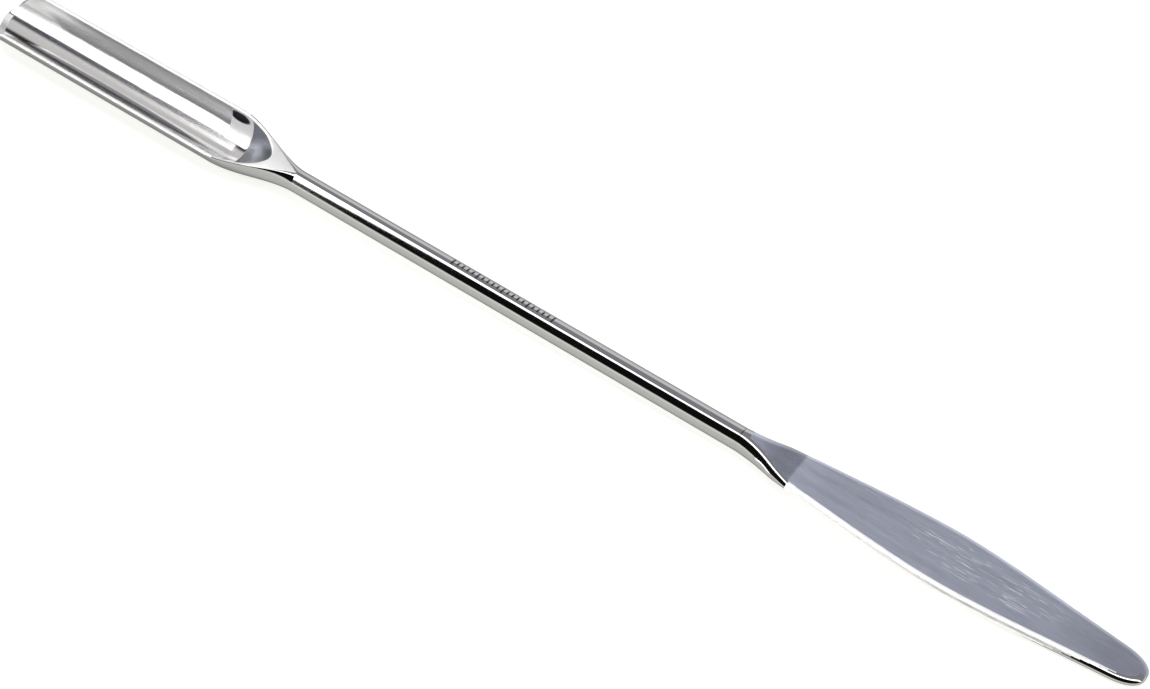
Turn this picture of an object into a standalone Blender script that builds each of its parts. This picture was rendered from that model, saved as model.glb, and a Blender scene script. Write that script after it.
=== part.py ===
"""Double-ended micro spatula: a half-round scoop with its neck, a round rod and a leaf-shaped blade.

The tool lies along X with the scoop at -X, the scoop's hollow opens towards +Z, and it stands on the
plane z = 0, which the scoop's underside and the blade's tip touch. Lengths below are in millimetres,
and x is counted from the middle of the tool.
"""
import math

import bmesh
import bpy

MM = 0.001

# Driving dimensions.
LENGTH = 228.0
ROD_RADIUS = 2.0
SCOOP_HALF_WIDTH = 5.5
SCOOP_DEPTH = 6.0
SHEET = 0.70
BLADE_THICKNESS = 1.34
WELD_GAP = 0.30

# Places along the tool.
NOSE_X = -LENGTH / 2
TIP_X = LENGTH / 2
NOSE_SETBACK = 6.4
NOSE_POINT = 1.45
NOSE_CORNER = 1.15
NOSE_LEAN = 0.10
NECK_END_X = -44.8
NECK_START_X = NECK_END_X - 16.0
BELLY_END_X = NECK_START_X
HOLLOW_RISES_X = NECK_END_X - 13.5
HOLLOW_NARROWS_X = NECK_END_X - 10.5
HOLLOW_END_X = NECK_END_X - 6.0
FACET_APEX_X = NECK_END_X - 0.2
BLADE_START_X = 43.7
FLAT_START_X = 53.7
TIP_ROUND_X = TIP_X - 5.0

# Heights of the scoop's rim and underside, counted from the tool's centreline, and the angle by which
# the scoop is rolled round the middle of its rim, with the +Y rim up.
RIM_ABOVE_CENTRE = 1.95
BELOW_CENTRE = SCOOP_DEPTH - RIM_ABOVE_CENTRE
SCOOP_ROLL = math.radians(7.0)
EDGE_ROUND = 0.33
FACET_SPREAD = 0.44

# The tool rests on the scoop's belly and on the blade's tip. From the belly the centreline rises a
# little to the nose, falls along the rod, and falls more along the blade to bring the tip down.
SCOOP_SLOPE = 0.0084
ROD_SLOPE = 0.0144
ROD_DROP = ROD_SLOPE * (BLADE_START_X - BELLY_END_X)
BLADE_SLOPE = (BELOW_CENTRE - ROD_DROP - BLADE_THICKNESS / 2) / (TIP_X - BLADE_START_X)

# The leaf outline: half-width of the blade at each x, joined by a smooth curve.
LEAF = [
    (BLADE_START_X - 2.5, ROD_RADIUS),
    (BLADE_START_X, ROD_RADIUS),
    (BLADE_START_X + 3.5, 2.42),
    (BLADE_START_X + 8.0, 3.36),
    (BLADE_START_X + 17.0, 4.28),
    (BLADE_START_X + 27.0, 5.09),
    (BLADE_START_X + 36.5, 5.47),
    (BLADE_START_X + 45.5, 5.07),
    (BLADE_START_X + 57.5, 3.95),
    (TIP_X, 2.75),
]
TIP_BLUNTNESS = 2.5
RAMP_ROUND = 0.3
EDGE_REACH = 1.1

# Fineness of the meshes.
HALF_ARC_STEPS = 14
CORNER_STEPS = 4
EDGE_STEPS = 8
ROD_SIDES = 32


def ease(start, end, x):
    """0 before start, 1 after end, with a smooth S between them."""
    u = min(max((x - start) / (end - start), 0.0), 1.0)
    return u * u * (3.0 - 2.0 * u)


def blend(low, high, share):
    return low + (high - low) * share


def fall(start, end, x):
    """1 before start, then a straight line down to 0 at end."""
    return min(max((end - x) / (end - start), 0.0), 1.0)


def round_off(start, end, x):
    """1 before start, then a quarter of an ellipse down to 0 at end."""
    u = min(max((x - start) / (end - start), 0.0), 1.0)
    return math.sqrt(1.0 - u * u)


def centre_height(x):
    """Height of the tool's centreline above the surface that it lies on."""
    along_scoop = max(BELLY_END_X - x, 0.0)
    along_rod = min(max(x - BELLY_END_X, 0.0), BLADE_START_X - BELLY_END_X)
    along_blade = max(x - BLADE_START_X, 0.0)
    return BELOW_CENTRE + SCOOP_SLOPE * along_scoop - ROD_SLOPE * along_rod - BLADE_SLOPE * along_blade


def curve_through(points, x):
    """Smooth curve through points, with the slope at each point taken from its neighbours."""
    last = len(points) - 1
    k = next((i for i in range(last) if x <= points[i + 1][0]), last - 1)

    def slope(i):
        before = points[max(i - 1, 0)]
        after = points[min(i + 1, last)]
        return (after[1] - before[1]) / (after[0] - before[0])

    (x0, y0), (x1, y1) = points[k], points[k + 1]
    span = x1 - x0
    u = (x - x0) / span
    start = (1 + 2 * u) * (1 - u) ** 2 * y0 + u * (1 - u) ** 2 * span * slope(k)
    end = u * u * (3 - 2 * u) * y1 + u * u * (u - 1) * span * slope(k + 1)
    return start + end


def place(x, y, z):
    """World point, in metres, for a point given by its height above the centreline."""
    return (x * MM, y * MM, (z + centre_height(x)) * MM)


def scoop_shape(x):
    """The sizes of the scoop's and neck's section at x."""
    neck = ease(NECK_START_X, NECK_END_X, x)
    half_width = blend(SCOOP_HALF_WIDTH, ROD_RADIUS, neck)
    bottom = blend(-BELOW_CENTRE, -ROD_RADIUS, ease(BELLY_END_X, NECK_END_X, x))
    top = blend(RIM_ABOVE_CENTRE, ROD_RADIUS, ease(NECK_START_X, FACET_APEX_X, x))
    waist = blend(RIM_ABOVE_CENTRE - EDGE_ROUND, 0.0, neck)
    facet = max(min(half_width - EDGE_ROUND, FACET_SPREAD * (FACET_APEX_X - x)), 0.0)
    hollow_width = (half_width - SHEET) * round_off(HOLLOW_NARROWS_X, HOLLOW_END_X, x)
    hollow_depth = (top - bottom - SHEET) * fall(HOLLOW_RISES_X, HOLLOW_END_X, x)
    return half_width, bottom, top, waist, facet, hollow_width, hollow_depth


def arc_angles():
    """Angles round the trough: one at the nose's foremost point, and closest together at the rims."""
    angles = []
    for i in range(-HALF_ARC_STEPS, HALF_ARC_STEPS + 1):
        nose = math.sin(math.pi / 2 * i / HALF_ARC_STEPS)
        share = (math.sqrt(1.0 + 4.0 * NOSE_LEAN * (NOSE_LEAN + nose)) - 1.0) / (2.0 * NOSE_LEAN)
        angles.append(math.pi / 2 * share)
    return angles


def rim_points(shape):
    """The right-hand rim from the outer wall over the top land to the hollow, ends included."""
    half_width, _, top, waist, facet, hollow_width, hollow_depth = shape
    lip = min(EDGE_ROUND, hollow_width / 2, hollow_depth / 2)
    quarter = [math.pi / 2 * i / CORNER_STEPS for i in range(CORNER_STEPS + 1)]
    reach = half_width - facet
    outer = [(facet + reach * math.cos(a), blend(waist, top, math.sin(a))) for a in quarter]
    inner = [(hollow_width + lip - lip * math.sin(a), top - lip + lip * math.cos(a)) for a in quarter]
    return outer + inner


def scoop_section(x):
    """One closed ring: the outer wall left to right, the right rim, the hollow, then the left rim."""
    shape = scoop_shape(x)
    half_width, bottom, top, waist, _, _, hollow_depth = shape
    rim = rim_points(shape)
    hollow_width, hollow_top = rim[-1]
    hollow_fall = hollow_top - (top - hollow_depth)
    angles = arc_angles()
    outer = [(half_width * math.sin(a), blend(waist, bottom, math.cos(a))) for a in angles]
    inner = [(hollow_width * math.sin(a), hollow_top - hollow_fall * math.cos(a)) for a in angles]
    left_rim = [(-y, z) for y, z in rim[1:-1]]
    ring = outer + rim[1:-1] + inner[::-1] + left_rim[::-1]
    roll = SCOOP_ROLL * (1.0 - ease(NECK_START_X, NECK_END_X, x))
    return [roll_point(y, z, waist, roll) for y, z in ring]


def roll_point(y, z, pivot, angle):
    """A section's point turned by angle about the middle of the section at the height pivot."""
    up = z - pivot
    return (y * math.cos(angle) - up * math.sin(angle), pivot + y * math.sin(angle) + up * math.cos(angle))


def nose_share(angle):
    """-1 at the left rim, 0 at the nose's foremost point and 1 at the right rim."""
    share = angle / (math.pi / 2)
    return share - NOSE_LEAN * (1.0 - share * share)


def nose_setback(angle):
    """How far the nose's edge lies behind its foremost point, at an angle round the trough."""
    narrowing = max(1.0 - abs(nose_share(angle)) ** NOSE_POINT, 0.0)
    return NOSE_SETBACK * (1.0 - narrowing ** (1.0 / NOSE_CORNER))


def section_setbacks():
    """The nose's setback for each point of a scoop section."""
    arc = [nose_setback(a) for a in arc_angles()]
    rim = [NOSE_SETBACK] * (2 * CORNER_STEPS)
    return arc + rim + arc[::-1] + rim


def scoop_rings():
    """Rings of points from the nose's edge to the neck's end."""
    setbacks = section_setbacks()
    edge = NOSE_X + EDGE_ROUND
    rings = []
    for share in (0.0, 0.05, 0.15, 0.4, 0.7):
        xs = [blend(edge + back, NECK_START_X, share) for back in setbacks]
        section = scoop_section(NECK_START_X)
        rings.append([place(x, y, z) for x, (y, z) in zip(xs, section)])
    trough_steps = [blend(NECK_START_X, HOLLOW_RISES_X, i / 4) for i in range(4)]
    hollow_steps = [blend(HOLLOW_RISES_X, HOLLOW_END_X, math.sin(math.pi / 2 * i / 12)) for i in range(13)]
    neck_steps = [blend(HOLLOW_END_X, FACET_APEX_X, i / 5) for i in range(1, 6)]
    for x in trough_steps + hollow_steps + neck_steps + [NECK_END_X - WELD_GAP / 2]:
        rings.append([place(x, y, z) for y, z in scoop_section(x)])
    return rings


def nose_lip(first_ring):
    """Rows of points that round the nose's edge over from the outer wall to the hollow's floor."""
    angles = arc_angles()
    count = len(angles)
    outer = first_ring[:count]
    inner = first_ring[count + 2 * CORNER_STEPS:2 * count + 2 * CORNER_STEPS][::-1]
    arc_length = SCOOP_HALF_WIDTH * math.pi / 2
    rows = []
    for angle, start, end in zip(angles, outer, inner):
        share = nose_share(angle)
        narrowing = 1.0 - nose_setback(angle) / NOSE_SETBACK
        forward = NOSE_CORNER / NOSE_SETBACK * narrowing ** (NOSE_CORNER - 1.0)
        around = math.copysign(NOSE_POINT / arc_length * abs(share) ** (NOSE_POINT - 1.0), share)
        size = math.hypot(forward, around)
        across, up = roll_point(math.cos(angle) * around, math.sin(angle) * around, 0.0, SCOOP_ROLL)
        rows.append(lip_row(start, end, (-forward / size, across / size, up / size)))
    return rows


def lip_row(start, end, out):
    """Points between start and end on a profile that bulges by the edge's rounding towards out."""
    thickness = math.dist(start, end)
    lip = EDGE_ROUND * MM
    quarter = [math.pi / 2 * i / CORNER_STEPS for i in range(CORNER_STEPS + 1)]
    near = [(lip - lip * math.cos(a), lip * math.sin(a)) for a in quarter]
    far = [(thickness - d, h) for d, h in near[::-1]]
    row = []
    for depth, height in (near + far)[1:-1]:
        share = depth / thickness
        row.append(tuple(blend(s, e, share) + height * o for s, e, o in zip(start, end, out)))
    return row


def blade_half_width(x):
    """Half-width of the leaf, which a blunt rounded end closes at the tip."""
    into_tip = min(max((x - TIP_ROUND_X) / (TIP_X - TIP_ROUND_X), 0.0), 1.0)
    rounding = max(1.0 - into_tip ** TIP_BLUNTNESS, 0.0) ** (1.0 / TIP_BLUNTNESS)
    return curve_through(LEAF, x) * rounding


def blade_half_thickness(x):
    """Half-thickness: a ramp, rounded where it leaves the rod and straight where it meets the flat."""
    along = min(max((x - BLADE_START_X) / (FLAT_START_X - BLADE_START_X), 0.0), 1.0)
    drop = math.hypot(along, RAMP_ROUND) - RAMP_ROUND
    whole = math.hypot(1.0, RAMP_ROUND) - RAMP_ROUND
    return blend(ROD_RADIUS, BLADE_THICKNESS / 2, drop / whole)


def outline_normal(x):
    """Direction away from the blade's right-hand edge at x."""
    step = 0.01
    ahead = min(x + step, TIP_X)
    behind = max(x - step, BLADE_START_X)
    rise = blade_half_width(ahead) - blade_half_width(behind)
    size = math.hypot(rise, ahead - behind)
    return (-rise / size, (ahead - behind) / size)


def blade_rings():
    """Rings of points from the rod to the tip: a round edge on each side and a flat between them."""
    ramp = [blend(BLADE_START_X + WELD_GAP / 2, FLAT_START_X, i / 8) for i in range(9)]
    leaf = [blend(FLAT_START_X, TIP_ROUND_X, i / 20) for i in range(1, 21)]
    tip_length = TIP_X - TIP_ROUND_X
    tip = [TIP_ROUND_X + tip_length * math.sin(math.pi / 2 * i / 12) for i in range(1, 12)]
    rings = []
    for x in ramp + leaf + tip:
        rings.append(blade_ring(x, outline_normal(x)))
    rings.append(blade_ring(TIP_X, (1.0, 0.0)))
    return rings


def blade_ring(x, normal):
    """The two round edges at x, top to bottom on the right and back to the top on the left."""
    thick = blade_half_thickness(x)
    edge = blend(EDGE_REACH, ROD_RADIUS, (thick - BLADE_THICKNESS / 2) / (ROD_RADIUS - BLADE_THICKNESS / 2))
    half_width = blade_half_width(x)
    core = max(half_width - edge * normal[1], 0.0)
    right = []
    for i in range(EDGE_STEPS + 1):
        angle = math.pi / 2 - math.pi * i / EDGE_STEPS
        reach = edge * math.cos(angle)
        along = x - edge * normal[0] + reach * normal[0]
        right.append((along, core + reach * normal[1], thick * math.sin(angle)))
    left = [(along, -across, up) for along, across, up in right[::-1]]
    return [place(*point) for point in right + left]


def bridge(mesh, first, second):
    """Faces between two rings of the same number of vertices."""
    count = len(first)
    for i in range(count):
        j = (i + 1) % count
        mesh.faces.new((first[i], first[j], second[j], second[i]))


def loft(mesh, rings):
    """Skin over a row of rings. Returns their vertices."""
    rows = [[mesh.verts.new(point) for point in ring] for ring in rings]
    for first, second in zip(rows, rows[1:]):
        bridge(mesh, first, second)
    return rows


def add_nose(mesh, row, points):
    """Close the nose between the outer wall's and the hollow's front edges with the rounded lip."""
    count = 2 * HALF_ARC_STEPS + 1
    rim = 2 * CORNER_STEPS
    outer = row[:count]
    right_rim = row[count:count + rim]
    inner = row[count + rim:2 * count + rim][::-1]
    left_rim = row[2 * count + rim:][::-1]
    middle = [[mesh.verts.new(point) for point in line] for line in points[1:-1]]
    lines = [left_rim] + middle + [right_rim]
    strips = [[a] + line + [b] for a, line, b in zip(outer, lines, inner)]
    for first, second in zip(strips, strips[1:]):
        for i in range(len(first) - 1):
            mesh.faces.new((first[i], first[i + 1], second[i + 1], second[i]))


def finish(mesh, name, material):
    """Merge the points that meet, face everything outwards and make the object."""
    bmesh.ops.remove_doubles(mesh, verts=mesh.verts, dist=1e-7)
    bmesh.ops.recalc_face_normals(mesh, faces=mesh.faces)
    data = bpy.data.meshes.new(name)
    mesh.to_mesh(data)
    mesh.free()
    data.shade_smooth()
    data.set_sharp_from_angle(angle=math.radians(35))
    data.materials.append(material)
    piece = bpy.data.objects.new(name, data)
    bpy.context.scene.collection.objects.link(piece)
    return piece


def steel(name, color, roughness):
    material = bpy.data.materials.new(name)
    material.use_nodes = True
    shader = material.node_tree.nodes["Principled BSDF"]
    shader.inputs["Base Color"].default_value = (*color, 1.0)
    shader.inputs["Metallic"].default_value = 1.0
    shader.inputs["Roughness"].default_value = roughness
    return material


def make_scoop(material):
    mesh = bmesh.new()
    rings = scoop_rings()
    rows = loft(mesh, rings)
    add_nose(mesh, rows[0], nose_lip(rings[0]))
    mesh.faces.new(rows[-1])
    return finish(mesh, "scoop", material)


def make_handle_rod(material):
    start = NECK_END_X + WELD_GAP / 2
    end = BLADE_START_X - WELD_GAP / 2
    angle = math.atan(ROD_SLOPE)
    length = (end - start) / math.cos(angle)
    mesh = bmesh.new()
    radius = ROD_RADIUS * MM
    bmesh.ops.create_cone(
        mesh, cap_ends=True, segments=ROD_SIDES, radius1=radius, radius2=radius, depth=length * MM)
    rod = finish(mesh, "handle_rod", material)
    middle = (start + end) / 2
    rod.location = place(middle, 0.0, 0.0)
    rod.rotation_euler = (0.0, math.pi / 2 + angle, 0.0)
    return rod


def make_blade(material):
    mesh = bmesh.new()
    rows = loft(mesh, blade_rings())
    mesh.faces.new(rows[0])
    return finish(mesh, "blade", material)


def main():
    for old in list(bpy.data.objects):
        bpy.data.objects.remove(old, do_unlink=True)
    polished = steel("polished_steel", (0.78, 0.78, 0.77), 0.08)
    satin = steel("satin_steel", (0.56, 0.57, 0.61), 0.35)
    make_scoop(polished)
    make_handle_rod(polished)
    make_blade(satin)


main()
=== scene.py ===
"""Looks for the double-ended micro spatula: a polished scoop, neck and rod, and a satin-ground blade.

Each piece is skinned again with fine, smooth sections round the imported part, whose boxes give the
sizes. Lengths are in millimetres, x is counted from the middle of the tool, and z from the tool's
centreline until place() adds the centreline's height above the floor.
"""
import math

import bmesh
import bpy
from mathutils import Matrix, Vector


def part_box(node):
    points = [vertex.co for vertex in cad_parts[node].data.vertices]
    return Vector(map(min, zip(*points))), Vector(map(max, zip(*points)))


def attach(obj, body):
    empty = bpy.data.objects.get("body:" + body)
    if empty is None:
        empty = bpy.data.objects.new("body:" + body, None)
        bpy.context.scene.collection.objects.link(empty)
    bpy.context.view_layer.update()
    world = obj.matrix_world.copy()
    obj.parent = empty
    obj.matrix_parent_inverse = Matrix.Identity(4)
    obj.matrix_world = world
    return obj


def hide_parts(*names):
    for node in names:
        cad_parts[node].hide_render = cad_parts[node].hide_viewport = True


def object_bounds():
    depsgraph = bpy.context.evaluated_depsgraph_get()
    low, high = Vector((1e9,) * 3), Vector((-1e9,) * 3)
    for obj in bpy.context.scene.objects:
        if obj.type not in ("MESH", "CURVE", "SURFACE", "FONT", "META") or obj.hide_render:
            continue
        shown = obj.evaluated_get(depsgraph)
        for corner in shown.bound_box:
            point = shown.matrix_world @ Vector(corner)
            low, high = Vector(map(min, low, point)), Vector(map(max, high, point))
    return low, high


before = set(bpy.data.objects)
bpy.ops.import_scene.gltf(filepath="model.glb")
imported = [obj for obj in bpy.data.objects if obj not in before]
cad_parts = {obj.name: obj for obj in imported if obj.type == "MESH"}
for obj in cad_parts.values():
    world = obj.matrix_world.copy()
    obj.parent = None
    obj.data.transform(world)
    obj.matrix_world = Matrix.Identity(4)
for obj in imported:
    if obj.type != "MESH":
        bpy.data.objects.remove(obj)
cad_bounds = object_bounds()

MM = 0.001

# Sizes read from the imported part.
scoop_low, scoop_high = [corner / MM for corner in map(Vector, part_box("scoop"))]
rod_low, rod_high = [corner / MM for corner in map(Vector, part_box("handle_rod"))]
blade_low, blade_high = [corner / MM for corner in map(Vector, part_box("blade"))]
NOSE_X = scoop_low.x
TIP_X = blade_high.x
NECK_END_X = (scoop_high.x + rod_low.x) / 2
BLADE_START_X = (rod_high.x + blade_low.x) / 2
ROD_RADIUS = (rod_high.y - rod_low.y) / 2
SCOOP_HALF_WIDTH = (scoop_high.y - scoop_low.y) / 2

# The scoop and its neck. The nose's edge is a tongue: NOSE_POINT and NOSE_CORNER are the powers that
# shape its middle and its corners, and NOSE_LEAN moves its foremost point aside. FACET_SPREAD is the
# facet's half-width for each millimetre before its apex.
SCOOP_DEPTH = 6.0
SHEET = 0.70
EDGE_ROUND = 0.33
RIM_ABOVE_CENTRE = 1.95
SCOOP_ROLL = math.radians(7.0)
BELOW_CENTRE = SCOOP_DEPTH - RIM_ABOVE_CENTRE
NOSE_SETBACK = 6.4
NOSE_POINT = 1.45
NOSE_CORNER = 1.15
NOSE_LEAN = 0.10
NECK_START_X = NECK_END_X - 16.0
BELLY_END_X = NECK_START_X
HOLLOW_RISES_X = NECK_END_X - 13.5
HOLLOW_NARROWS_X = NECK_END_X - 10.5
HOLLOW_END_X = NECK_END_X - 6.0
FACET_APEX_X = NECK_END_X - 0.2
FACET_SPREAD = 0.44

# The blade. RAMP_ROUND is a share of the ramp's length, and LEAF has places along the blade with the
# half-width there.
BLADE_THICKNESS = 1.34
FLAT_START_X = BLADE_START_X + 10.0
TIP_ROUND_X = TIP_X - 5.0
TIP_BLUNTNESS = 2.5
CREASE_ROUND = 0.15
RAMP_ROUND = 0.3
FLAT_MARGIN = 0.12
EDGE_REACH = 1.1
LEAF = [
    (BLADE_START_X - 2.5, ROD_RADIUS),
    (BLADE_START_X, ROD_RADIUS),
    (BLADE_START_X + 3.5, 2.42),
    (BLADE_START_X + 8.0, 3.36),
    (BLADE_START_X + 17.0, 4.28),
    (BLADE_START_X + 27.0, 5.09),
    (BLADE_START_X + 36.5, 5.47),
    (BLADE_START_X + 45.5, 5.07),
    (BLADE_START_X + 57.5, 3.95),
    (TIP_X, 2.75),
]

# How the tool lies: on the scoop's belly and on the blade's tip.
SCOOP_SLOPE = 0.0084
ROD_SLOPE = 0.0144
ROD_DROP = ROD_SLOPE * (BLADE_START_X - BELLY_END_X)
BLADE_SLOPE = (BELOW_CENTRE - ROD_DROP - BLADE_THICKNESS / 2) / (TIP_X - BLADE_START_X)

# Etched marks along the top of the rod.
TICK_COUNT = 21
TICK_PITCH = 1.0
TICK_WIDTH = 0.36
TICK_DEPTH = 0.02
FIRST_TICK_X = -12.6
TICK_ANGLE = math.radians(104)
SHORT_TICK = math.radians(13)
LONG_TICK = math.radians(21)
LONG_EVERY = 5

# Where the finishes start and end. At RUB_SPLIT_Y across the trough, the rubbed near side of the nose
# stops, and the rubbed patch on the far wall beyond WORN_WALL_X starts. The walls grow rougher from
# WALL_FOOT_Y to WALL_TOP_Y. ROUNDING lets a place that should lie on a line count as past it.
WORN_RIM_END_X = NECK_END_X - 14.5
WORN_WALL_X = NECK_START_X - 3.7
RUB_SPLIT_Y = 2.0
WORN_NOSE_RINGS = 6
# The blade's -Y edge gets the bright rubbed finish, partly a painted highlight, which fades out between
# these two places.
WORN_HIGHLIGHT_FADES_X = TIP_X - 32.0
WORN_HIGHLIGHT_END_X = TIP_X - 4.0
SATIN_START_X = BLADE_START_X + 1.5
WALL_FOOT_Y = 4.0
WALL_TOP_Y = 4.6
ROUNDING = 0.01

# Fineness of the meshes.
HALF_ARC_STEPS = 48
CORNER_STEPS = 10
EDGE_STEPS = 20
ROD_SIDES = 180
NOSE_STEPS = 40
TROUGH_STEPS = 24
END_WALL_STEPS = 60
NECK_STEPS = 30
RAMP_STEPS = 30
LEAF_STEPS = 120
TIP_STEPS = 48
ROD_END_STEPS = 24
MERGE_DISTANCE = 1e-7
SHARP_ANGLE = math.radians(40)


def rise(start, end, x):
    """0 before start, then a straight line up to 1 at end."""
    return min(max((x - start) / (end - start), 0.0), 1.0)


def fall(start, end, x):
    """1 before start, then a straight line down to 0 at end."""
    return min(max((end - x) / (end - start), 0.0), 1.0)


def ease(start, end, x):
    """0 before start, 1 after end, with a smooth S between them."""
    u = rise(start, end, x)
    return u * u * (3.0 - 2.0 * u)


def round_off(start, end, x):
    """1 before start, then a quarter of an ellipse down to 0 at end."""
    u = rise(start, end, x)
    return math.sqrt(1.0 - u * u)


def blend(low, high, share):
    """low where share is 0, high where it is 1."""
    return low + (high - low) * share


def spread(start, end, count):
    """count + 1 evenly spaced places from start to end."""
    return [blend(start, end, i / count) for i in range(count + 1)]


def centre_height(x):
    """Height of the tool's centreline above the floor."""
    along_scoop = max(BELLY_END_X - x, 0.0)
    along_rod = min(max(x - BELLY_END_X, 0.0), BLADE_START_X - BELLY_END_X)
    along_blade = max(x - BLADE_START_X, 0.0)
    return BELOW_CENTRE + SCOOP_SLOPE * along_scoop - ROD_SLOPE * along_rod - BLADE_SLOPE * along_blade


def place(x, y, z):
    """World point, in metres, for a point given by its height above the centreline."""
    return (x * MM, y * MM, (z + centre_height(x)) * MM)


def curve_through(points, x):
    """Smooth curve through points, with the slope at each point taken from its neighbours."""
    last = len(points) - 1
    k = next((i for i in range(last) if x <= points[i + 1][0]), last - 1)

    def slope(i):
        before = points[max(i - 1, 0)]
        after = points[min(i + 1, last)]
        return (after[1] - before[1]) / (after[0] - before[0])

    (x0, y0), (x1, y1) = points[k], points[k + 1]
    span = x1 - x0
    u = (x - x0) / span
    start = (1 + 2 * u) * (1 - u) ** 2 * y0 + u * (1 - u) ** 2 * span * slope(k)
    end = u * u * (3 - 2 * u) * y1 + u * u * (u - 1) * span * slope(k + 1)
    return start + end


# Scoop and neck.

def scoop_shape(x):
    """The sizes of the scoop's and neck's section at x."""
    neck = ease(NECK_START_X, NECK_END_X, x)
    half_width = blend(SCOOP_HALF_WIDTH, ROD_RADIUS, neck)
    bottom = blend(-BELOW_CENTRE, -ROD_RADIUS, ease(BELLY_END_X, NECK_END_X, x))
    top = blend(RIM_ABOVE_CENTRE, ROD_RADIUS, ease(NECK_START_X, FACET_APEX_X, x))
    waist = blend(RIM_ABOVE_CENTRE - EDGE_ROUND, 0.0, neck)
    facet = max(min(half_width - EDGE_ROUND, FACET_SPREAD * (FACET_APEX_X - x)), 0.0)
    hollow_width = (half_width - SHEET) * round_off(HOLLOW_NARROWS_X, HOLLOW_END_X, x)
    hollow_depth = (top - bottom - SHEET) * fall(HOLLOW_RISES_X, HOLLOW_END_X, x)
    return half_width, bottom, top, waist, facet, hollow_width, hollow_depth


def arc_angles():
    """Angles round the trough: one at the nose's foremost point, and closest together at the rims."""
    angles = []
    for i in range(-HALF_ARC_STEPS, HALF_ARC_STEPS + 1):
        nose = math.sin(math.pi / 2 * i / HALF_ARC_STEPS)
        share = (math.sqrt(1.0 + 4.0 * NOSE_LEAN * (NOSE_LEAN + nose)) - 1.0) / (2.0 * NOSE_LEAN)
        angles.append(math.pi / 2 * share)
    return angles


def rim_points(shape):
    """The right-hand rim from the outer wall over the top land to the hollow, ends included."""
    half_width, _, top, waist, facet, hollow_width, hollow_depth = shape
    lip = min(EDGE_ROUND, hollow_width / 2, hollow_depth / 2)
    quarter = spread(0.0, math.pi / 2, CORNER_STEPS)
    reach = half_width - facet
    outer = [(facet + reach * math.cos(a), blend(waist, top, math.sin(a))) for a in quarter]
    inner = [(hollow_width + lip - lip * math.sin(a), top - lip + lip * math.cos(a)) for a in quarter]
    return outer + inner


def scoop_section(x):
    """One closed ring: the outer wall left to right, the right rim, the hollow, then the left rim."""
    shape = scoop_shape(x)
    half_width, bottom, top, waist, _, _, hollow_depth = shape
    rim = rim_points(shape)
    hollow_width, hollow_top = rim[-1]
    hollow_fall = hollow_top - (top - hollow_depth)
    angles = arc_angles()
    outer = [(half_width * math.sin(a), blend(waist, bottom, math.cos(a))) for a in angles]
    inner = [(hollow_width * math.sin(a), hollow_top - hollow_fall * math.cos(a)) for a in angles]
    left_rim = [(-y, z) for y, z in rim[1:-1]]
    ring = outer + rim[1:-1] + inner[::-1] + left_rim[::-1]
    roll = SCOOP_ROLL * (1.0 - ease(NECK_START_X, NECK_END_X, x))
    return [roll_point(y, z, waist, roll) for y, z in ring]


def roll_point(y, z, pivot, angle):
    """A section's point turned by angle about the middle of the section at the height pivot."""
    up = z - pivot
    return (y * math.cos(angle) - up * math.sin(angle), pivot + y * math.sin(angle) + up * math.cos(angle))


def nose_share(angle):
    """-1 at the left rim, 0 at the nose's foremost point and 1 at the right rim."""
    share = angle / (math.pi / 2)
    return share - NOSE_LEAN * (1.0 - share * share)


def nose_setback(angle):
    """How far the nose's edge lies behind its foremost point, at an angle round the trough."""
    narrowing = max(1.0 - abs(nose_share(angle)) ** NOSE_POINT, 0.0)
    return NOSE_SETBACK * (1.0 - narrowing ** (1.0 / NOSE_CORNER))


def scoop_rings():
    """Rings of points from the nose's edge to the neck's end."""
    arc = [nose_setback(a) for a in arc_angles()]
    rim = [NOSE_SETBACK] * (2 * CORNER_STEPS)
    setbacks = arc + rim + arc[::-1] + rim
    edge = NOSE_X + EDGE_ROUND
    section = scoop_section(NECK_START_X)
    rings = []
    for step in spread(0.0, 1.0, NOSE_STEPS)[:-1]:
        xs = [blend(edge + back, NECK_START_X, step * step) for back in setbacks]
        rings.append([place(x, y, z) for x, (y, z) in zip(xs, section)])
    trough = spread(NECK_START_X, HOLLOW_RISES_X, TROUGH_STEPS)[:-1]
    turns = spread(0.0, math.pi / 2, END_WALL_STEPS)
    end_wall = [blend(HOLLOW_RISES_X, HOLLOW_END_X, math.sin(a)) for a in turns]
    neck = spread(HOLLOW_END_X, NECK_END_X, NECK_STEPS)[1:]
    for x in trough + end_wall + neck:
        rings.append([place(x, y, z) for y, z in scoop_section(x)])
    return rings


def nose_lip(first_ring):
    """Rows of points that round the nose's edge over from the outer wall to the hollow's floor."""
    angles = arc_angles()
    count = len(angles)
    outer = first_ring[:count]
    inner = first_ring[count + 2 * CORNER_STEPS:2 * count + 2 * CORNER_STEPS][::-1]
    arc_length = SCOOP_HALF_WIDTH * math.pi / 2
    rows = []
    for angle, start, end in zip(angles, outer, inner):
        share = nose_share(angle)
        narrowing = 1.0 - nose_setback(angle) / NOSE_SETBACK
        forward = NOSE_CORNER / NOSE_SETBACK * narrowing ** (NOSE_CORNER - 1.0)
        around = math.copysign(NOSE_POINT / arc_length * abs(share) ** (NOSE_POINT - 1.0), share)
        size = math.hypot(forward, around)
        across, up = roll_point(math.cos(angle) * around, math.sin(angle) * around, 0.0, SCOOP_ROLL)
        rows.append(lip_row(start, end, (-forward / size, across / size, up / size)))
    return rows


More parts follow.
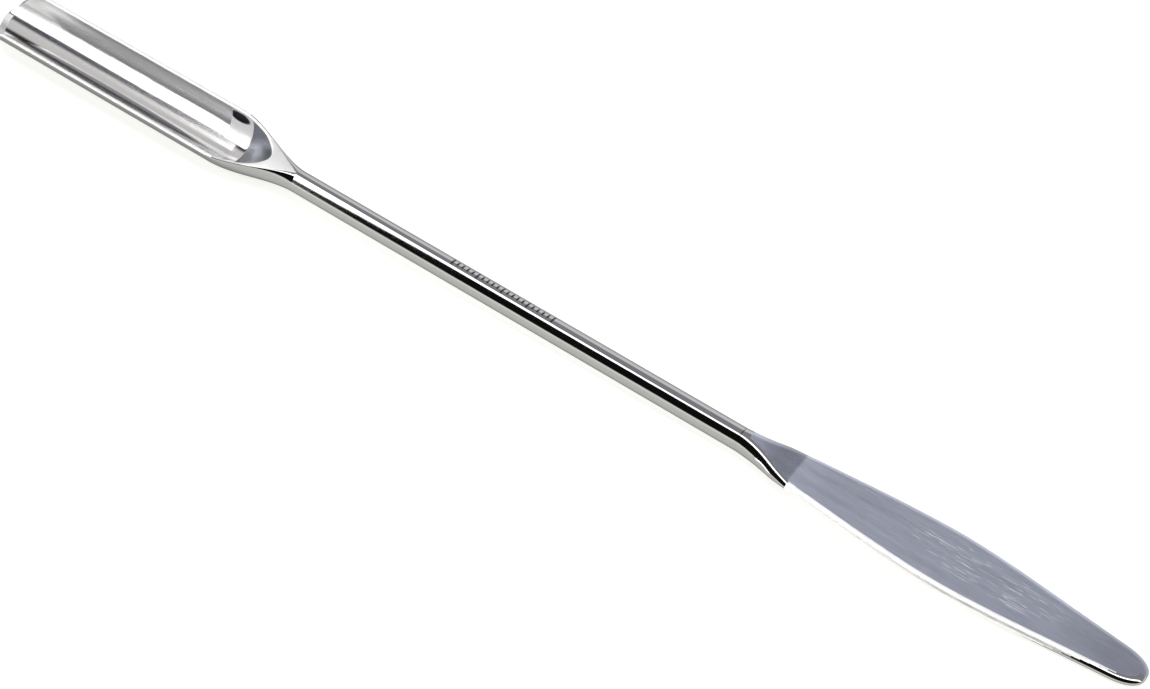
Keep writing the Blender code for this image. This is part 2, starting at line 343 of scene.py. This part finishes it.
def lip_row(start, end, out):
    """Points between start and end on a profile that bulges by the edge's rounding towards out."""
    thickness = math.dist(start, end)
    lip = EDGE_ROUND * MM
    quarter = spread(0.0, math.pi / 2, CORNER_STEPS)
    near = [(lip - lip * math.cos(a), lip * math.sin(a)) for a in quarter]
    far = [(thickness - d, h) for d, h in near[::-1]]
    row = []
    for depth, height in (near + far)[1:-1]:
        share = depth / thickness
        row.append(tuple(blend(s, e, share) + height * o for s, e, o in zip(start, end, out)))
    return row


# Blade.

def blade_half_width(x):
    """Half-width of the leaf, which a blunt rounded end closes at the tip."""
    into_tip = rise(TIP_ROUND_X, TIP_X, x)
    rounding = max(1.0 - into_tip ** TIP_BLUNTNESS, 0.0) ** (1.0 / TIP_BLUNTNESS)
    return curve_through(LEAF, x) * rounding


def blade_half_thickness(x):
    """Half-thickness: a ramp, rounded where it leaves the rod and straight where it meets the flat."""
    along = rise(BLADE_START_X, FLAT_START_X, x)
    drop = math.hypot(along, RAMP_ROUND) - RAMP_ROUND
    whole = math.hypot(1.0, RAMP_ROUND) - RAMP_ROUND
    return blend(ROD_RADIUS, BLADE_THICKNESS / 2, drop / whole)


def outline_normal(x):
    """Direction away from the blade's right-hand edge at x."""
    step = 0.01
    ahead = min(x + step, TIP_X)
    behind = max(x - step, BLADE_START_X)
    widening = blade_half_width(ahead) - blade_half_width(behind)
    size = math.hypot(widening, ahead - behind)
    return (-widening / size, (ahead - behind) / size)


def blade_rings():
    """Rings of points from the rod to the tip: a round edge on each side and a flat between them."""
    ramp = spread(BLADE_START_X, FLAT_START_X - CREASE_ROUND, RAMP_STEPS)
    leaf = spread(FLAT_START_X + CREASE_ROUND, TIP_ROUND_X, LEAF_STEPS)
    tip_length = TIP_X - TIP_ROUND_X
    turns = spread(0.0, math.pi / 2, TIP_STEPS)[1:-1]
    tip = [TIP_ROUND_X + tip_length * math.sin(a) for a in turns]
    rings = []
    for x in ramp + leaf + tip:
        rings.append(blade_ring(x, outline_normal(x)))
    rings.append(blade_ring(TIP_X, (1.0, 0.0)))
    return rings


def blade_ring(x, normal):
    """The two round edges at x, top to bottom on the right and back to the top on the left."""
    thick = blade_half_thickness(x)
    edge = blend(EDGE_REACH, ROD_RADIUS, (thick - BLADE_THICKNESS / 2) / (ROD_RADIUS - BLADE_THICKNESS / 2))
    half_width = blade_half_width(x)
    core = max(half_width - edge * normal[1], 0.0)
    right = []
    for i in range(EDGE_STEPS + 1):
        angle = math.pi / 2 - math.pi * i / EDGE_STEPS
        reach = edge * math.cos(angle)
        along = x - edge * normal[0] + reach * normal[0]
        right.append((along, core + reach * normal[1], thick * math.sin(angle)))
    inside = max(core - FLAT_MARGIN, 0.5 * core)
    right = [(right[0][0], inside, thick)] + right + [(right[-1][0], inside, -thick)]
    left = [(along, -across, up) for along, across, up in right[::-1]]
    return [place(*point) for point in right + left]


# Rod.

def tick_edges():
    """The start and end of each etched tick, with the half-angle that it spans round the rod."""
    ticks = []
    for i in range(TICK_COUNT):
        middle = FIRST_TICK_X + i * TICK_PITCH
        half = LONG_TICK if i % LONG_EVERY == 0 else SHORT_TICK
        ticks.append((middle - TICK_WIDTH / 2, middle + TICK_WIDTH / 2, half))
    return ticks


def rod_ring(x, sunk):
    """One ring round the rod. Points within the half-angle sunk of the ticks' middle lie deeper."""
    ring = []
    for i in range(ROD_SIDES):
        angle = 2 * math.pi * i / ROD_SIDES
        radius = ROD_RADIUS - (TICK_DEPTH if abs(angle - TICK_ANGLE) < sunk else 0.0)
        ring.append(place(x, -radius * math.cos(angle), radius * math.sin(angle)))
    return ring


def rod_rings():
    """Rings along the rod, with a sunk pair for each tick. Also says which pairs are etched."""
    wall = TICK_DEPTH / 2
    ticks = tick_edges()
    before = spread(NECK_END_X, ticks[0][0] - TICK_PITCH, ROD_END_STEPS)
    after = spread(ticks[-1][1] + TICK_PITCH, BLADE_START_X, ROD_END_STEPS)
    rings = [rod_ring(x, 0.0) for x in before]
    etched = {}
    for start, end, half in ticks:
        rings.append(rod_ring(start, 0.0))
        etched[len(rings)] = half
        rings.append(rod_ring(start + wall, half))
        rings.append(rod_ring(end - wall, half))
        rings.append(rod_ring(end, 0.0))
    rings += [rod_ring(x, 0.0) for x in after]
    return rings, etched


# Skinning.

def bridge(mesh, first, second):
    """Faces between two rings of the same number of vertices."""
    count = len(first)
    faces = []
    for i in range(count):
        j = (i + 1) % count
        faces.append(mesh.faces.new((first[i], first[j], second[j], second[i])))
    return faces


def loft(mesh, rings):
    """Skin over a row of rings. Returns their vertices and the faces of each pair of rings."""
    rows = [[mesh.verts.new(point) for point in ring] for ring in rings]
    bands = [bridge(mesh, first, second) for first, second in zip(rows, rows[1:])]
    return rows, bands


def add_nose(mesh, row, points):
    """Close the nose between its outer and inner edges with the rounded lip. Returns the lip's faces."""
    count = 2 * HALF_ARC_STEPS + 1
    rim = 2 * CORNER_STEPS
    outer = row[:count]
    right_rim = row[count:count + rim]
    inner = row[count + rim:2 * count + rim][::-1]
    left_rim = row[2 * count + rim:][::-1]
    middle = [[mesh.verts.new(point) for point in line] for line in points[1:-1]]
    lines = [left_rim] + middle + [right_rim]
    strips = [[a] + line + [b] for a, line, b in zip(outer, lines, inner)]
    faces = []
    for first, second in zip(strips, strips[1:]):
        for i in range(len(first) - 1):
            faces.append(mesh.faces.new((first[i], first[i + 1], second[i + 1], second[i])))
    return faces


def finish_piece(mesh, name, node, materials):
    """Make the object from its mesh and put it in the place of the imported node."""
    bmesh.ops.remove_doubles(mesh, verts=mesh.verts, dist=MERGE_DISTANCE)
    bmesh.ops.recalc_face_normals(mesh, faces=mesh.faces)
    data = bpy.data.meshes.new(name)
    mesh.to_mesh(data)
    mesh.free()
    data.shade_smooth()
    data.set_sharp_from_angle(angle=SHARP_ANGLE)
    for material in materials:
        data.materials.append(material)
    piece = bpy.data.objects.new(name, data)
    bpy.context.scene.collection.objects.link(piece)
    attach(piece, "root")
    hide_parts(node)
    return piece


# The places of the finishes in each piece's list of materials.
POLISHED = 0
HOLLOW, WORN, END_WALL, NOSE = 1, 2, 3, 4
ETCHED = 1
SATIN, WORN_HIGHLIGHT_EDGE = 1, 2


def inside_finish(x, y, near_nose):
    """The finish of the scoop's inside at a place x, y. The last test that holds decides."""
    finish = WORN if x > WORN_WALL_X and y > RUB_SPLIT_Y else HOLLOW
    if near_nose and y < RUB_SPLIT_Y:
        finish = NOSE
    if x > HOLLOW_RISES_X - ROUNDING:
        finish = END_WALL
    return finish


def finish_scoop_faces(rings, bands):
    """Give the scoop's inside its finishes and wear the rims, and past them only the neck's facet."""
    arc = 2 * HALF_ARC_STEPS
    rim = 2 * CORNER_STEPS + 1
    around = 2 * arc + 2 * rim
    right_land = range(arc + CORNER_STEPS // 2, arc + rim)
    land = [*right_land, *(around - 1 + arc - i for i in right_land)]
    facet = [i for i in land if arc + CORNER_STEPS <= i < around - CORNER_STEPS]
    for index, (ring, band) in enumerate(zip(rings, bands)):
        x = max(point[0] for point in ring) / MM
        for i in range(arc + rim, 2 * arc + rim):
            y = band[i].calc_center_median().y / MM
            band[i].material_index = inside_finish(x, y, index < WORN_NOSE_RINGS)
        for i in land if x < WORN_RIM_END_X else facet:
            band[i].material_index = WORN


def make_scoop(materials):
    """The scoop and its neck: the hollow has its own finish with a painted dark reflection, the ground end
    has painted shade, and the rims are worn.
    """
    mesh = bmesh.new()
    rings = scoop_rings()
    rows, bands = loft(mesh, rings)
    finish_scoop_faces(rings, bands)
    for face in add_nose(mesh, rows[0], nose_lip(rings[0])):
        if face.calc_center_median().y < RUB_SPLIT_Y * MM:
            face.material_index = NOSE
    mesh.faces.new(rows[-1])
    scoop = finish_piece(mesh, "scoop_polished", "scoop", materials)


def make_rod(materials):
    """The polished rod, with dark bottoms in its etched ticks."""
    mesh = bmesh.new()
    rings, etched = rod_rings()
    rows, bands = loft(mesh, rings)
    for index, half in etched.items():
        for i, face in enumerate(bands[index]):
            angle = 2 * math.pi * (i + 0.5) / ROD_SIDES
            if abs(angle - TICK_ANGLE) < half:
                face.material_index = ETCHED
    mesh.faces.new(rows[0])
    mesh.faces.new(rows[-1])
    rod = finish_piece(mesh, "rod_polished", "handle_rod", materials)


def finish_blade_faces(rings, bands):
    """Give the flats and the +Y edge the satin finish and wear the -Y edge, less and less to the tip. The
    bright rubbed finish on that one edge is partly a painted highlight.
    """
    side = EDGE_STEPS + 3
    flats = (0, side - 2, side - 1, side, 2 * side - 2, 2 * side - 1)
    satin = {*flats, *range(1, 1 + EDGE_STEPS // 2)}
    for ring, band in zip(rings, bands):
        x = ring[1][0] / MM
        worn_highlight_steps = EDGE_STEPS * fall(WORN_HIGHLIGHT_FADES_X, WORN_HIGHLIGHT_END_X, x)
        for i, face in enumerate(band):
            if i in satin and x > SATIN_START_X:
                face.material_index = SATIN
            elif i > side and x > FLAT_START_X and 2 * side - 3 - i < worn_highlight_steps:
                face.material_index = WORN_HIGHLIGHT_EDGE


def make_blade(materials):
    """The blade: satin from the ramp on with painted light and shade along it, its -Y edge worn bright with
    a partly painted highlight, and its underside edges polished.
    """
    mesh = bmesh.new()
    rings = blade_rings()
    rows, bands = loft(mesh, rings)
    mesh.faces.new(rows[0])
    finish_blade_faces(rings, bands)
    blade = finish_piece(mesh, "blade_satin", "blade", materials)


# Materials.

# Brightness painted into the ground steel at places along the tool, as painted light and shade for what it
# reflects:
# lighter where the ramp leaves the rod, darker on the ramp, lightest just past the crease and dull at the
# tip. It is part of the base colour, so it stays the same in every view.
BLADE_PAINTED_TONES = [
    (BLADE_START_X + 2.5, 1.0),
    (BLADE_START_X + 6.5, 0.66),
    (FLAT_START_X - 0.1, 0.68),
    (FLAT_START_X + 0.1, 1.15),
    (FLAT_START_X + 6.0, 1.02),
    (TIP_X - 16.0, 1.02),
    (TIP_X - 6.0, 0.78),
]

# Painted shade in the same way for the ground wall that ends the hollow, darker towards its end.
END_PAINTED_SHADE = [
    (HOLLOW_RISES_X, 0.52),
    (HOLLOW_END_X, 0.36),
]

# Middles and half-sizes of the ellipsoids that hold the dark line on the trough's floor and the black patch
# in its far corner, both painted reflections, and the bright scratches on the blade. Heights are from the
# floor under the tool, and the two tall ones reach through the whole thickness.
LINE_REFLECTION_MIDDLE = Vector((NOSE_X + 26.5, -1.35, 0.0))
LINE_REFLECTION_SIZE = Vector((24.5, 1.0, 30.0))
CORNER_REFLECTION_MIDDLE = Vector((NECK_START_X - 0.7, 4.6, BELOW_CENTRE + 0.9))
CORNER_REFLECTION_SIZE = Vector((2.5, 3.0, 1.1))
STREAKS_MIDDLE = Vector((TIP_X - 27.0, 1.0, 0.0))
STREAKS_SIZE = Vector((14.0, 3.2, 30.0))

# Colours of the metals, of the dark reflections painted on them, and of their scratches.
STEEL = (0.38, 0.38, 0.378)
PAINTED_LINE_REFLECTION = (0.17, 0.17, 0.175)
HOLLOW_STEEL = (0.56, 0.558, 0.56)
PAINTED_CORNER_REFLECTION = (0.015, 0.01, 0.02)
GROUND_DARK = (0.325, 0.341, 0.405)
GROUND_LIGHT = (0.442, 0.46, 0.53)
BRIGHT_SCRATCH = (1.0, 1.0, 1.0)


class Nodes:
    """Adds nodes to a tree and joins them, one call for each node."""

    def __init__(self, tree):
        self.tree = tree

    def add(self, kind, inputs=None, **settings):
        """Add a node with its settings. Each input is a value or a socket to join it to."""
        node = self.tree.nodes.new(kind)
        for name, value in settings.items():
            setattr(node, name, value)
        for name, value in (inputs or {}).items():
            socket = node.inputs[name]
            if isinstance(value, bpy.types.NodeSocket):
                self.tree.links.new(value, socket)
            else:
                socket.default_value = value
        return node

    def link(self, output, socket):
        self.tree.links.new(output, socket)


def outside_share(nodes, middle, size):
    """0 inside an ellipsoid, given by its middle and half-sizes in millimetres, and 1 outside it."""
    inputs = {"Vector": object_place(nodes), "Location": middle * MM, "Scale": size * MM}
    inside = nodes.add("ShaderNodeMapping", inputs, vector_type="TEXTURE").outputs["Vector"]
    away = nodes.add("ShaderNodeVectorMath", {0: inside}, operation="LENGTH").outputs["Value"]
    return remap(nodes, away, 0.8, 1.0, 0.0, 1.0)


def new_metal(name, color, roughness):
    """A plain metal, its shader and the nodes for its detail, which takes over what it is linked to."""
    material = bpy.data.materials.new(name)
    material.use_nodes = True
    shader = material.node_tree.nodes["Principled BSDF"]
    shader.inputs["Base Color"].default_value = (*color, 1.0)
    shader.inputs["Metallic"].default_value = 1.0
    shader.inputs["Roughness"].default_value = roughness
    return material, shader, Nodes(material.node_tree)


def object_place(nodes):
    """The place on the piece, in the object's own metres."""
    return nodes.add("ShaderNodeTexCoord").outputs["Object"]


def tone_along(nodes, stops):
    """Brightness that follows straight lines between stops, each an x and a brightness."""
    first, last = stops[0][0], stops[-1][0]
    x = nodes.add("ShaderNodeSeparateXYZ", {"Vector": object_place(nodes)}).outputs["X"]
    share = remap(nodes, x, first * MM, last * MM, 0.0, 1.0)
    ramp = nodes.add("ShaderNodeValToRGB", {"Fac": share})
    elements = ramp.color_ramp.elements
    for stop, _ in stops[1:-1]:
        elements.new(rise(first, last, stop))
    for element, (_, tone) in zip(elements, stops):
        element.color = (tone, tone, tone, 1.0)
    return ramp.outputs["Color"]


def stretched_noise(nodes, scale, detail=3.0, roughness=0.6):
    """Noise in the object's own metres, at a scale for each axis."""
    sized = nodes.add("ShaderNodeMapping", {"Vector": object_place(nodes), "Scale": scale}).outputs["Vector"]
    inputs = {"Vector": sized, "Scale": 1.0, "Detail": detail, "Roughness": roughness}
    return nodes.add("ShaderNodeTexNoise", inputs).outputs["Fac"]


def remap(nodes, value, from_low, from_high, to_low, to_high):
    """The value carried from one range to another, and held at the ends of the second."""
    inputs = {
        "Value": value,
        "From Min": from_low,
        "From Max": from_high,
        "To Min": to_low,
        "To Max": to_high,
    }
    return nodes.add("ShaderNodeMapRange", inputs).outputs["Result"]


def mix_colors(nodes, share, first, second):
    """first where share is 0, second where it is 1. Each is a colour or a socket."""
    mix = nodes.add("ShaderNodeMix", {"Factor": share}, data_type="RGBA")
    for socket, value in ((mix.inputs[6], first), (mix.inputs[7], second)):
        if isinstance(value, bpy.types.NodeSocket):
            nodes.link(value, socket)
        else:
            socket.default_value = (*value, 1.0)
    return mix.outputs[2]


def add_bump(nodes, height, strength, distance, normal=None):
    """The normal of a surface bumped by height, over a distance in millimetres and on top of normal."""
    inputs = {"Height": height, "Strength": strength, "Distance": distance * MM}
    if normal is not None:
        inputs["Normal"] = normal
    return nodes.add("ShaderNodeBump", inputs).outputs["Normal"]


def polished_steel():
    """Mirror polish with faint smears, a slight waviness and hair-thin polishing lines."""
    material, shader, nodes = new_metal("polished_steel", STEEL, 0.08)
    # The grey edge tint darkens the steel's reflections at grazing angles. This is painted shade along the
    # outlines, standing in for the shadowed floor under the tool seen in the steel.
    shader.inputs["Specular Tint"].default_value = (0.4, 0.4, 0.4, 1.0)
    smear = stretched_noise(nodes, (60.0, 220.0, 220.0))
    nodes.link(remap(nodes, smear, 0.35, 0.7, 0.03, 0.07), shader.inputs["Roughness"])
    lines = stretched_noise(nodes, (120.0, 6000.0, 6000.0))
    waves = stretched_noise(nodes, (40.0, 160.0, 160.0), detail=1.0)
    fine = add_bump(nodes, lines, 0.12, 0.02)
    nodes.link(add_bump(nodes, waves, 0.1, 0.2, fine), shader.inputs["Normal"])
    return material


def worn_and_painted_steel(name, shade):
    """Steel rubbed bright on rims and edges, with small nicks and a painted dark reflection in the trough's
    corner.
    """
    rubbed = (shade, shade, shade)
    material, shader, nodes = new_metal(name, rubbed, 0.48)
    # The black patch in the trough's far corner is a painted dark reflection.
    unpainted = outside_share(nodes, CORNER_REFLECTION_MIDDLE, CORNER_REFLECTION_SIZE)
    color = mix_colors(nodes, unpainted, PAINTED_CORNER_REFLECTION, rubbed)
    nodes.link(color, shader.inputs["Base Color"])
    nicks = stretched_noise(nodes, (600.0, 2500.0, 2500.0))
    nodes.link(remap(nodes, nicks, 0.3, 0.7, 0.4, 0.55), shader.inputs["Roughness"])
    nodes.link(add_bump(nodes, nicks, 0.3, 0.04), shader.inputs["Normal"])
    return material


def hollow_steel():
    """The scoop's inside: less well polished, roughest up its walls, with a long dark line painted on its
    floor as a reflection.
    """
    material, shader, nodes = new_metal("hollow_steel", HOLLOW_STEEL, 0.16)
    across = nodes.add("ShaderNodeSeparateXYZ", {"Vector": object_place(nodes)}).outputs["Y"]
    aside = nodes.add("ShaderNodeMath", {0: across}, operation="ABSOLUTE").outputs[0]
    roughness = remap(nodes, aside, WALL_FOOT_Y * MM, WALL_TOP_Y * MM, 0.12, 0.32)
    nodes.link(roughness, shader.inputs["Roughness"])
    # The dark line along the trough's floor is a painted reflection.
    unpainted = outside_share(nodes, LINE_REFLECTION_MIDDLE, LINE_REFLECTION_SIZE)
    color = mix_colors(nodes, unpainted, PAINTED_LINE_REFLECTION, HOLLOW_STEEL)
    nodes.link(color, shader.inputs["Base Color"])
    lines = stretched_noise(nodes, (150.0, 4000.0, 4000.0))
    nodes.link(add_bump(nodes, lines, 0.3, 0.03), shader.inputs["Normal"])
    return material


def satin_steel(name, painted_tones):
    """Steel ground along its length: fine scratches of varied depth over a dull blue-grey sheen, with
    painted light and shade along it.
    """
    material, shader, nodes = new_metal(name, (0.50, 0.51, 0.56), 0.38)
    broad = stretched_noise(nodes, (25.0, 900.0, 900.0))
    nodes.link(remap(nodes, broad, 0.3, 0.75, 0.33, 0.46), shader.inputs["Roughness"])
    shade = stretched_noise(nodes, (170.0, 5000.0, 5000.0), detail=6.0, roughness=0.75)
    tone = remap(nodes, shade, 0.25, 0.75, 0.0, 1.0)
    face = mix_colors(nodes, tone, GROUND_DARK, GROUND_LIGHT)
    # Painted light and shade along the piece: its brightness at each place is set in the base colour.
    along = tone_along(nodes, painted_tones)
    ground = nodes.add("ShaderNodeVectorMath", {0: face, 1: along}, operation="MULTIPLY").outputs[0]
    streak = stretched_noise(nodes, (60.0, 9000.0, 9000.0), detail=1.0)
    bright = remap(nodes, streak, 0.65, 0.675, 0.0, 1.0)
    used = remap(nodes, outside_share(nodes, STREAKS_MIDDLE, STREAKS_SIZE), 0.0, 1.0, 1.0, 0.1)
    share = nodes.add("ShaderNodeMath", {0: bright, 1: used}, operation="MULTIPLY").outputs[0]
    nodes.link(mix_colors(nodes, share, ground, BRIGHT_SCRATCH), shader.inputs["Base Color"])
    lines = stretched_noise(nodes, (90.0, 7000.0, 7000.0), detail=5.0)
    nodes.link(add_bump(nodes, lines, 0.5, 0.04), shader.inputs["Normal"])
    return material


def etched_steel():
    """The dull, nearly black bottom of an etched tick."""
    material, shader, nodes = new_metal("etched_steel", (0.05, 0.05, 0.055), 0.6)
    grain = stretched_noise(nodes, (9000.0, 9000.0, 9000.0))
    nodes.link(remap(nodes, grain, 0.3, 0.7, 0.5, 0.7), shader.inputs["Roughness"])
    return material


# Studio.

FLOOR_HALF_SIZE = 4.0


def make_floor():
    """A plain pale floor under the tool. It is mostly self-lit, so it is white with hardly a shadow."""
    material = bpy.data.materials.new("pale_floor")
    material.use_nodes = True
    shader = material.node_tree.nodes["Principled BSDF"]
    shader.inputs["Base Color"].default_value = (0.42, 0.415, 0.40, 1.0)
    shader.inputs["Roughness"].default_value = 0.9
    shader.inputs["Specular IOR Level"].default_value = 0.1
    shader.inputs["Emission Color"].default_value = (1.0, 1.0, 0.97, 1.0)
    shader.inputs["Emission Strength"].default_value = 0.75
    half = FLOOR_HALF_SIZE
    data = bpy.data.meshes.new("floor")
    corners = [(-half, -half, 0.0), (half, -half, 0.0), (half, half, 0.0), (-half, half, 0.0)]
    data.from_pydata(corners, [], [(0, 1, 2, 3)])
    data.materials.append(material)
    floor = bpy.data.objects.new("floor", data)
    floor.location.z = cad_bounds[0][2]
    bpy.context.scene.collection.objects.link(floor)


# The light tent round the tool, as bands by angle: 0 is the near horizon, 90 straight up and 180 the
# far horizon. Each band has its colour, how soft its start is in degrees, and the angles where it starts
# at two places along the tent. Places run towards +X and are the X part of the direction. The tent's -X
# end, over the scoop, has its own panels, and SCOOP_END is where they give way to those over the rod.
# The angles and colours are chosen for what the steel reflects towards this scene's camera.
NEAR_WALL = (1.50, 1.48, 1.38)
WHITE_PANEL = (5.0, 5.0, 5.0)
BLACK_GAP = (0.01, 0.01, 0.01)
GREY_GAP = (0.48, 0.48, 0.52)
FAR_WALL = (1.42, 1.43, 1.46)
PALE_SKIRT = (0.72, 0.71, 0.72)
DARK_PANEL = (0.08, 0.08, 0.105)
CREAM_PANEL = (0.92, 0.90, 0.875)
DARK_LINE = (0.06, 0.06, 0.06)
SCOOP_BANDS = [
    (PALE_SKIRT, 4.0, (-0.60, -8.0), (-0.50, -8.0)),
    (WHITE_PANEL, 3.0, (-0.575, 34.0), (-0.52, 6.0)),
    (DARK_PANEL, 4.0, (-0.60, 64.0), (-0.50, 64.0)),
    (CREAM_PANEL, 4.0, (-0.60, 88.0), (-0.50, 88.0)),
    (DARK_LINE, 4.0, (-0.60, 138.0), (-0.54, 133.0)),
    (FAR_WALL, 5.0, (-0.60, 160.0), (-0.54, 165.0)),
]
ROD_BANDS = [
    (BLACK_GAP, 2.0, (-0.48, 18.0), (-0.42, 18.0)),
    (WHITE_PANEL, 2.0, (-0.487, 42.0), (-0.415, 82.0)),
    (GREY_GAP, 3.0, (-0.48, 108.0), (-0.32, 94.0)),
    (FAR_WALL, 6.0, (-0.48, 144.0), (-0.32, 144.0)),
]
SCOOP_END = (-0.485, -0.481)


def tent_bands(nodes, degrees, along, bands):
    """The colour of one row of bands at an angle and a place along the tent."""
    color = nodes.add("ShaderNodeRGB").outputs[0]
    color.default_value = (*NEAR_WALL, 1.0)
    for band_color, soft, (first, first_angle), (last, last_angle) in bands:
        start = remap(nodes, along, first, last, first_angle, last_angle)
        past = nodes.add("ShaderNodeMath", {0: degrees, 1: start}, operation="SUBTRACT")
        share = remap(nodes, past.outputs[0], -soft, soft, 0.0, 1.0)
        color = mix_colors(nodes, share, color, band_color)
    return color


def make_light_tent():
    """Soft light from all round: bright panels overhead between dark gaps and pale walls."""
    world = bpy.data.worlds.new("light_tent")
    bpy.context.scene.world = world
    world.use_nodes = True
    nodes = Nodes(world.node_tree)
    direction = nodes.add("ShaderNodeTexCoord").outputs["Generated"]
    parts = nodes.add("ShaderNodeSeparateXYZ", {"Vector": direction}).outputs
    near = nodes.add("ShaderNodeMath", {0: parts["Y"], 1: -1.0}, operation="MULTIPLY")
    angle = nodes.add("ShaderNodeMath", {0: parts["Z"], 1: near.outputs[0]}, operation="ARCTAN2")
    degrees = nodes.add("ShaderNodeMath", {0: angle.outputs[0]}, operation="DEGREES").outputs[0]
    over_scoop = tent_bands(nodes, degrees, parts["X"], SCOOP_BANDS)
    over_rod = tent_bands(nodes, degrees, parts["X"], ROD_BANDS)
    share = remap(nodes, parts["X"], *SCOOP_END, 0.0, 1.0)
    color = mix_colors(nodes, share, over_scoop, over_rod)
    nodes.link(color, world.node_tree.nodes["Background"].inputs["Color"])


# Camera: the point it looks at, from the middle of the tool, and the way and distance from there.
AIM = Vector((12.2, -0.3, 0.0))
TOWARDS_CAMERA = Vector((0.366, -0.495, 0.788))
CAMERA_DISTANCE = 417.0
FOCAL_LENGTH = 82.96


def make_camera():
    """A camera that looks down the tool's near side, turned with the rod's slope."""
    turn = Matrix.Rotation(math.atan(ROD_SLOPE), 3, "Y")
    back = turn @ TOWARDS_CAMERA.normalized()
    side = (turn @ Vector((0.0, 0.0, 1.0))).cross(back).normalized()
    up = back.cross(side)
    aim = turn @ AIM + Vector((0.0, 0.0, centre_height(0.0)))
    data = bpy.data.cameras.new("camera")
    data.lens = FOCAL_LENGTH
    data.clip_start = 0.01
    camera = bpy.data.objects.new("camera", data)
    rotation = Matrix((side, up, back)).transposed().to_4x4()
    camera.matrix_world = Matrix.Translation((aim + back * CAMERA_DISTANCE) * MM) @ rotation
    bpy.context.scene.collection.objects.link(camera)
    bpy.context.scene.camera = camera


# Build everything.
polished = polished_steel()
worn = worn_and_painted_steel("worn_and_painted_steel", 0.85)
ends = satin_steel("end_steel_painted_shade", END_PAINTED_SHADE)
nose = worn_and_painted_steel("nose_steel", 0.62)
make_scoop([polished, hollow_steel(), worn, ends, nose])
make_rod([polished, etched_steel()])
make_blade([polished, satin_steel("satin_steel", BLADE_PAINTED_TONES), worn])
make_floor()
make_light_tent()
make_camera()
bpy.context.scene.view_settings.view_transform = "Standard"
